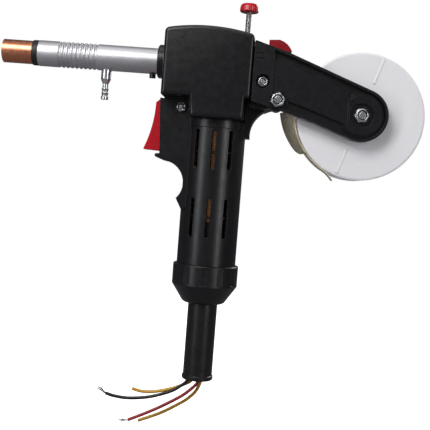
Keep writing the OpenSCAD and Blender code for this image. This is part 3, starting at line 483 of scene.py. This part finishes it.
def cylinder(at, axis, low, high, radius, sides=64):
    """A plain solid cylinder to cut with."""
    axis = Vector(axis)
    path = [Vector(at) + axis * low, Vector(at) + axis * high]
    side = axis.orthogonal().normalized()
    other = axis.cross(side)
    points, faces = [], []
    for p in path:
        for k in range(sides):
            a = 2 * math.pi * k / sides
            points.append(p + (side * math.cos(a) + other * math.sin(a)) * radius)
    for k in range(sides):
        n = (k + 1) % sides
        faces.append((k, n, sides + n, sides + k))
    faces += [tuple(range(sides)), tuple(reversed(range(sides, 2 * sides)))]
    return solid(points, faces)


def block(low, high):
    """A plain solid block to cut with."""
    points = [(x, y, z) for x in (low[0], high[0]) for y in (low[1], high[1]) for z in (low[2], high[2])]
    faces = [(0, 1, 3, 2), (4, 6, 7, 5), (0, 4, 5, 1), (2, 3, 7, 6), (0, 2, 6, 4), (1, 5, 7, 3)]
    return solid(points, faces)


def solid(points, faces):
    """A solid to cut with or to join on, from points in millimetres."""
    mesh = bpy.data.meshes.new("cutter")
    mesh.from_pydata([Vector(p) * MM for p in points], [], faces)
    face_outward(mesh)
    obj = bpy.data.objects.new("cutter", mesh)
    bpy.context.scene.collection.objects.link(obj)
    return obj


def smooth_by_angle(obj, degrees=32):
    """Keeps edges sharper than this crisp, and everything else smooth."""
    shape = bmesh.new()
    shape.from_mesh(obj.data)
    for edge in shape.edges:
        edge.smooth = edge.calc_face_angle(0) < math.radians(degrees)
    for face in shape.faces:
        face.smooth = True
    shape.to_mesh(obj.data)
    shape.free()


# The cover is one hollow moulding, open on the right, with holes where other pieces pass through it.
INNER_Y = COVER_Y + COVER_WALL
OUTER_ROUND, INNER_ROUND = 3.2, 1.2
COLLAR_R, SCREW_HOLE_R, GRIP_R, GRIP_TOP = 10.8, 3.2, 25.2, -30.2
cover = piece(
    "head_cover_moulding", *plate(upper_outline, 0, COVER_Y, -0.05, OUTER_ROUND), "black_nylon", "gun"
)
skirt = solid(*plate(skirt_outline, 0, COVER_Y + 0.05, -0.06, OUTER_ROUND))
cut(cover, [skirt], "UNION")
barrel_hole = cylinder((0, 0, 0), (1, 0, 0), HEAD_X0 - 5, HEAD_X0 + 6, COLLAR_R)
screw_hole = cylinder((SCREW_X, 0, 0), (0, 0, 1), 15, 35, SCREW_HOLE_R, 40)
arm_opening = block((199.6, -19.5, -31), (209.4, 5, 18))
grip_opening = cylinder((GRIP_X, 0, 0), (0, 0, 1), -46, GRIP_TOP, GRIP_R)
trigger_opening = block((150, -20.6, -46), (GRIP_X, 3, GRIP_TOP))
cut(cover, [
    solid(*plate(upper_outline, COVER_WALL, INNER_Y, 2, INNER_ROUND)),
    solid(*plate(skirt_outline, COVER_WALL, INNER_Y, 2, INNER_ROUND)),
    barrel_hole, screw_hole, arm_opening, grip_opening, trigger_opening,
])
tongue = block((136.5, -14.6, -30.58), (157.5, -13.4, -28.5))
cut(cover, [tongue], "UNION")
smooth_by_angle(cover)
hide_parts("head_cover")


# ---------------------------------------------------------------- lock nuts


def turned(profile, at, sides=48):
    """Points and faces of a ring turned about a Y axis at (x, z). profile is a closed list of (y, radius)."""
    points, faces = [], []
    count = len(profile)
    for k in range(sides):
        a = 2 * math.pi * k / sides
        points += [(at[0] + r * math.cos(a), y, at[1] + r * math.sin(a)) for y, r in profile]
    for k in range(sides):
        n = (k + 1) % sides
        for i in range(count):
            j = (i + 1) % count
            faces.append((k * count + i, k * count + j, n * count + j, n * count + i))
    return points, faces


def hexagon(at, seat, end, across, turn):
    """Points and faces of a hexagonal prism along Y."""
    r = across / math.sqrt(3)
    angles = [turn + math.pi * k / 3 for k in range(6)]
    ring = [(at[0] + r * math.cos(a), at[1] + r * math.sin(a)) for a in angles]
    points = [(x, y, z) for y in (seat, end) for x, z in ring]
    faces = [tuple(range(6)), tuple(range(11, 5, -1))]
    faces += [(k, (k + 1) % 6, 6 + (k + 1) % 6, 6 + k) for k in range(6)]
    return points, faces


def lock_nut(name, at, seat, across, height, bore, turn):
    """A chamfered hexagon whose rolled collar grips a dark nylon ring. The nut stands out towards -Y."""
    half, top = across / 2, seat - height * 0.66
    nut = piece(name, *hexagon(at, seat, top, across, turn), "plated_steel", "gun")
    corner = half * 1.1
    cut(nut, [solid(*turned([
        (seat + 0.01, bore), (seat + 0.01, half * 0.97), (seat - across * 0.07, corner + 0.5),
        (top + across * 0.09, corner + 0.5), (top - 0.01, half * 0.93), (top - 0.01, bore),
    ], at))], "INTERSECT")
    out, end, collar, lip = [], seat - height, half * 0.88, half * 0.12
    for k in range(7):
        a = math.pi * k / 6
        out.append((end + lip / 2 * (1 - math.sin(a)), collar - lip / 2 + lip / 2 * math.cos(a)))
    cut(nut, [solid(*turned([(top + 0.3, bore), (top + 0.3, collar), *out, (top - 0.2, collar - lip),
                             (top - 0.2, bore)], at))], "UNION")
    smooth_by_angle(nut, 28)
    inner = collar - lip + 0.02
    dip = end + height * 0.2
    ring = piece(
        name + "_ring",
        *turned([
            (top - 0.25, bore + 0.02), (dip + 0.15, bore + 0.02), (dip, bore + 0.12),
            (dip - 0.12, (bore + inner) / 2), (dip, inner - 0.05), (dip + 0.15, inner), (top - 0.25, inner),
        ], at),
        "black_phenolic", "gun",
    )
    ring.data.materials[0] = LOOKS["black_insert"]
    return [nut, ring]


front_nuts = lock_nut("housing_nut", (150.8, -36.7), -15, 7, 4.4, 2, 0.25)
lock_nut("tail_nut", (213.9, -14.2), -29.4, 7, 4.6, 2, 0.45)
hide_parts("m4_lock_nuts")
arm_nuts = lock_nut("arm_nut", (226.4, -27.6), -31.4, 10, 6.4, 3, 0.3)
lock_nut("spool_nut", (SPOOL_X, SPOOL_Z), -30, 10, 6, 3, 0.1)
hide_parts("m6_lock_nuts")


# ---------------------------------------------------------------- tension screw


def threaded(at, low, high, radius, pitch, depth, sides=36, rows=8):
    """Points and faces of a right-hand threaded rod along Z with chamfered ends."""
    count = int((high - low) / pitch * rows)
    points, faces = [], []
    for i in range(count + 1):
        z = low + (high - low) * i / count
        end = min(z - low, high - z)
        for k in range(sides):
            a = 2 * math.pi * k / sides
            phase = (z / pitch - k / sides) % 1
            r = radius - depth * abs(2 * phase - 1)
            r = min(r, radius - 0.7 + end)
            points.append((at[0] + r * math.cos(a), at[1] + r * math.sin(a), z))
    for i in range(count):
        for k in range(sides):
            n = (k + 1) % sides
            faces.append((i * sides + k, i * sides + n, (i + 1) * sides + n, (i + 1) * sides + k))
    faces += [tuple(range(sides)), tuple(count * sides + k for k in reversed(range(sides)))]
    return points, faces


thread = piece("tension_thread", *threaded((SCREW_X, 0), 15.4, 48.4, 2.4, 1, 0.42), "steel", "knob")
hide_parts("tension_screw")


# ---------------------------------------------------------------- spool

SPOOL_AT, FLANGE_Y, FLANGE_R = Vector((SPOOL_X, 0, SPOOL_Z)), 22.5, 50


def flange_line(name, degrees, y, out):
    """A low moulded rib across a flange's face, from the hub to the rim, with rounded sides."""
    a = math.radians(degrees)
    along, across = Vector((math.cos(a), 0, math.sin(a))), Vector((-math.sin(a), 0, math.cos(a)))
    points, faces = [], []
    steps, section = 24, [(-1.5, -0.1), (-1, 0.09), (-0.4, 0.16), (0.4, 0.16), (1, 0.09), (1.5, -0.1)]
    for i in range(steps + 1):
        middle = SPOOL_AT + along * (27.2 + (48 - 27.2) * i / steps)
        low = 0.3 if i in (0, steps) else 1
        points += [middle + across * w + Vector((0, y + out * h * low, 0)) for w, h in section]
    count = len(section)
    for i in range(steps):
        for k in range(count):
            j = (k + 1) % count
            faces.append((i * count + k, i * count + j, (i + 1) * count + j, (i + 1) * count + k))
    faces += [tuple(range(count)), tuple(steps * count + k for k in reversed(range(count)))]
    return piece(name, points, faces, "clear_plastic", "spool")


for side, out in (("left", -1), ("right", 1)):
    for number, angle in enumerate((72, 252)):
        flange_line(f"flange_rib_{side}_{number + 1}", angle, out * FLANGE_Y, out)


# ---------------------------------------------------------------- wire guard


SHEET, NEAR_Y = 0.6, -24


def around_spool(degrees, radius, y):
    a = math.radians(degrees)
    return Vector((SPOOL_X + radius * math.cos(a), y, SPOOL_Z + radius * math.sin(a)))


def guard_wrap(u, v, layer):
    """The wide sheet: it hugs the near flange and opens out towards the far one, most at the top."""
    corner = max(0, u - 0.8) / 0.2
    v *= 0.35 + 0.65 * math.sqrt(1 - corner * corner)
    opening = v * (10.5 - 8 * u)
    return around_spool(178.2 + 39.3 * u, FLANGE_R + 1 + opening + SHEET * layer, NEAR_Y + 44 * v)


def guard_tail(u, v, layer):
    """The narrow strip below it, whose free end springs clear of the flange."""
    clear = 3.5 * (max(0, u - 0.7) / 0.3) ** 2
    return around_spool(209 + 42 * u, FLANGE_R + 0.6 + clear + SHEET * layer, NEAR_Y + 0.5 + 16 * v)


def sheet(place, rows, columns):
    """Points and faces of a thin sheet. place(u, v, layer) gives a point of its inner or outer face."""
    points = [
        place(i / rows, j / columns, layer)
        for layer in (0, 1) for i in range(rows + 1) for j in range(columns + 1)
    ]
    wide, half = columns + 1, (rows + 1) * (columns + 1)
    faces = []
    for i in range(rows):
        for j in range(columns):
            a = i * wide + j
            quad = (a, a + 1, a + wide + 1, a + wide)
            faces += [quad, tuple(half + k for k in reversed(quad))]
    rim = list(range(columns)) + [i * wide + columns for i in range(rows)]
    rim += [rows * wide + j for j in range(columns, 0, -1)] + [i * wide for i in range(rows, 0, -1)]
    for n, a in enumerate(rim):
        b = rim[(n + 1) % len(rim)]
        faces.append((a, b, half + b, half + a))
    return points, faces


guard = piece("wire_guard_sheet", *sheet(guard_wrap, 40, 12), "amber_film", "gun")
foot = block((234.1, 6, -36), (234.9, 17, -19.6))
cut(guard, [solid(*sheet(guard_tail, 40, 4)), foot], "UNION")
smooth_by_angle(guard)
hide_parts("wire_guard")


# ---------------------------------------------------------------- springs

# The spring is built as two pieces, its lower and its upper turns, both fixed to the gun; on the real gun the
# lower turns close up as the arm lifts, the upper turns as the knob comes down.
TENSION_TOP, TENSION_SPLIT, TENSION_SEAT = 14.6, 9.3, 5.5
wound = helix((SCREW_X, 0, 0), (0, 0, 1), TENSION_SEAT + 0.45, TENSION_TOP - 0.45, 3.4, 6.5)
lower_turns = [point for point in wound if point.z < TENSION_SPLIT]
upper_turns = [lower_turns[-1].lerp(wound[len(lower_turns)], 0.42), *wound[len(lower_turns):]]
for name, turns, joint, keep in (
    ("tension_coil_lower", lower_turns, "presser_lift", 0.45),
    ("tension_coil_upper", upper_turns, "tension_travel", 0.4),
):
    coil = piece(name, *tube(turns, 0.43, 10), "steel", "gun")
    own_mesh(coil)
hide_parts("tension_spring")

brake = piece(
    "brake_coil",
    *tube(helix(SPOOL_AT, (0, 1, 0), 24.6, 30.6, 6.4, 5.5), 0.58, 10),
    "steel", "gun",
)
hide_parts("spool_brake_spring")

wound = helix((137.5, 0, -36), (0, 1, 0), 6.9, 9.2, 2.9, 4.0, 0.1, 24)
leg = [wound[0] + Vector((0.4, 0, -0.2)), Vector((141.2, 6.4, -36.6)), Vector((141.6, 5.2, -37)),
       Vector((141.6, 3.2, -37))]
torsion = piece(
    "trigger_coil",
    *joined([tube(wound, 0.38, 8), tube(spline(leg, 6), 0.36, 8)]),
    "steel", "trigger_body",
)
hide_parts("trigger_spring")


# ---------------------------------------------------------------- leads

LEAD_R = 1.35


def strands(end, direction, length, seed):
    """Bare tinned strands, fanned out from the end of a lead."""
    direction = Vector(direction).normalized()
    side = direction.orthogonal().normalized()
    other = direction.cross(side)
    parts = []
    for k in range(12):
        a = 2 * math.pi * (k + 0.37 * seed) / 12
        ring = 0.22 if k % 3 == 0 else 0.62
        spread = 0.16 * math.sin(3.1 * k + seed) + 0.1
        out = side * math.cos(a) + other * math.sin(a)
        reach = length * (0.82 + 0.18 * math.cos(2.3 * k + seed))
        path = [
            Vector(end) - direction * 2 + out * ring,
            Vector(end) + direction * reach * 0.35 + out * (ring + 0.1),
            Vector(end) + direction * reach * 0.7 + out * (ring + spread * reach * 0.35),
            Vector(end) + direction * reach + out * (ring + spread * reach * 0.8)
            + other * 0.4 * math.cos(k + seed),
        ]
        parts.append(tube(spline(path, 4), 0.2, 6))
    return joined(parts)


def sleeve(points):
    """The insulation of a lead, with a cut end."""
    return tube(spline(points, 12), LEAD_R, 16)


def lead_piece(name, slot, routes, *replaced):
    obj = piece(name, *joined([sleeve(r) for r in routes]), slot, "gun")
    if replaced:
        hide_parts(*replaced)
    return obj


BLACK = [(172.5, -1.8, -236), (172.2, -1.8, -248), (171.4, -2, -258.3), (166, -2, -264),
         (157.6, -2, -269.4), (141.4, -2.5, -275), (124.9, -3, -277.4), (113, -3, -276.9),
         (104.9, -3, -275.2)]
RED = [(179.5, -2.5, -236), (180.2, -2.5, -250), (180.1, -2.6, -259), (174.6, -3, -265.8),
       (166.2, -3.2, -272.8), (150.3, -3.5, -282.6), (137, -3.8, -289.6), (125.2, -4, -295.3)]
YELLOW_UPPER = [(175.5, 2.4, -236), (175.6, 2.4, -249), (174.9, 2.5, -258.8), (167, 2.6, -264.2),
                (157.5, 2.6, -268.1), (149, 2.6, -270.6), (141.2, 2.6, -272.1), (133, 2.7, -272.3),
                (125.8, 2.8, -270.8)]
YELLOW_LOWER = [(183.5, 2.4, -236), (183.4, 2.4, -248), (182.5, 2.6, -258), (179.1, 2.8, -267.5),
                (173.4, 3, -274.2), (166.7, 3.2, -279.4), (150.8, 3.6, -289.2), (132.6, 4, -297.4)]
lead_piece("black_lead", "black_rubber", [BLACK], "black_wire")
lead_piece("red_lead", "red_pvc", [RED], "red_wire")
lead_piece("yellow_leads", "yellow_pvc", [YELLOW_UPPER, YELLOW_LOWER], "yellow_wires")
piece("black_lead_strands", *strands(BLACK[-1], (-0.78, 0, 0.56), 9, 1), "steel", "gun")
piece("red_lead_strands", *strands(RED[-1], (-0.97, 0, -0.12), 8.5, 2), "steel", "gun")


# ---------------------------------------------------------------- stage, light and camera


def floor_material():
    """Pale to the camera, but dim to every other ray, so that it doesn't light the black parts from below."""
    g = Graph("floor")
    shader = g.add("ShaderNodeBsdfPrincipled")
    tone = g.ranged(g.noise(3, 4), 0.3, 0.7, 0.93, 0.95)
    paint = g.add("ShaderNodeCombineColor")
    for i in range(3):
        g.link(tone, paint, i)
    g.link(paint.outputs[0], shader, "Base Color")
    shader.inputs["Roughness"].default_value = 0.85
    shader.inputs["Emission Color"].default_value = (1, 1, 1, 1)
    shader.inputs["Emission Strength"].default_value = 0.9
    g.link(g.bump(g.noise(90, 3), 0.05, 0.001), shader, "Normal")
    dim = g.add("ShaderNodeBsdfDiffuse")
    dim.inputs["Color"].default_value = (0.22, 0.22, 0.23, 1)
    choice = g.add("ShaderNodeMixShader")
    g.link(g.add("ShaderNodeLightPath").outputs["Is Camera Ray"], choice, 0)
    g.link(dim.outputs[0], choice, 1)
    g.link(shader.outputs[0], choice, 2)
    g.link(choice.outputs[0], g.out, "Surface")
    return g.material


def add_floor():
    mesh = bpy.data.meshes.new("floor")
    z, size = -0.312, 6
    corners = [(x * size, y * size, z) for x, y in ((-1, -1), (1, -1), (1, 1), (-1, 1))]
    mesh.from_pydata(corners, [], [(0, 1, 2, 3)])
    mesh.materials.append(floor_material())
    obj = bpy.data.objects.new("floor", mesh)
    bpy.context.scene.collection.objects.link(obj)


def add_light(name, place, target, size, power, color=(1, 1, 1), tall=None):
    light = bpy.data.lights.new(name, "AREA")
    light.shape = "RECTANGLE"
    light.size = size
    light.size_y = tall or size
    light.energy = power
    light.color = color
    obj = bpy.data.objects.new(name, light)
    obj.location = place
    obj.rotation_euler = (Vector(target) - Vector(place)).to_track_quat("-Z", "Y").to_euler()
    bpy.context.scene.collection.objects.link(obj)


def add_world():
    """A white surround for the camera, and a dimmer sky for light and reflections."""
    world = bpy.data.worlds.new("studio")
    world.use_nodes = True
    tree = world.node_tree
    tree.nodes.clear()
    out = tree.nodes.new("ShaderNodeOutputWorld")
    mixed = tree.nodes.new("ShaderNodeMixShader")
    seen = tree.nodes.new("ShaderNodeBackground")
    seen.inputs[0].default_value = (1, 1, 1, 1)
    lit = tree.nodes.new("ShaderNodeBackground")
    lit.inputs[0].default_value = (0.94, 0.97, 1, 1)
    lit.inputs[1].default_value = 0.13
    ray = tree.nodes.new("ShaderNodeLightPath")
    tree.links.new(ray.outputs["Is Camera Ray"], mixed.inputs[0])
    tree.links.new(lit.outputs[0], mixed.inputs[1])
    tree.links.new(seen.outputs[0], mixed.inputs[2])
    tree.links.new(mixed.outputs[0], out.inputs[0])
    bpy.context.scene.world = world


def add_camera():
    """Seen from the gun's left, slightly from behind and above, with the gun leaning clockwise."""
    above, behind, roll = math.radians(2.05), math.radians(2.72), math.radians(4.45)
    distance = 0.6959
    target = Vector((0.1834, 0, -0.1214))
    look = Vector((-math.sin(behind) * math.cos(above), math.cos(behind) * math.cos(above), -math.sin(above)))
    level = Vector((math.cos(behind), math.sin(behind), 0))
    upright = level.cross(look)
    right = level * math.cos(roll) + upright * math.sin(roll)
    up = upright * math.cos(roll) - level * math.sin(roll)
    data = bpy.data.cameras.new("camera")
    data.sensor_width = 36
    data.lens = 71.16
    data.clip_start = 0.02
    obj = bpy.data.objects.new("camera", data)
    turn = Matrix((right, up, -look)).transposed().to_4x4()
    obj.matrix_world = Matrix.Translation(target - look * distance) @ turn
    bpy.context.scene.collection.objects.link(obj)
    bpy.context.scene.camera = obj


add_floor()
add_world()
CENTRE = (0.18, 0, -0.1)
add_light("key", (-0.4, -1.05, 0.8), CENTRE, 0.7, 13, (1, 0.99, 0.97))
add_light("left", (-0.75, -0.95, -0.05), CENTRE, 0.2, 5, (0.96, 0.98, 1), 1.3)
add_light("right", (1.05, -0.95, 0.0), CENTRE, 0.2, 5, (1, 0.99, 0.98), 1.3)
add_light("top", (0.2, -0.1, 1.1), CENTRE, 0.8, 2.5)
add_light("rim", (0.75, 0.7, 0.4), CENTRE, 0.5, 4)
add_camera()
bpy.context.scene.view_settings.view_transform = "Standard"
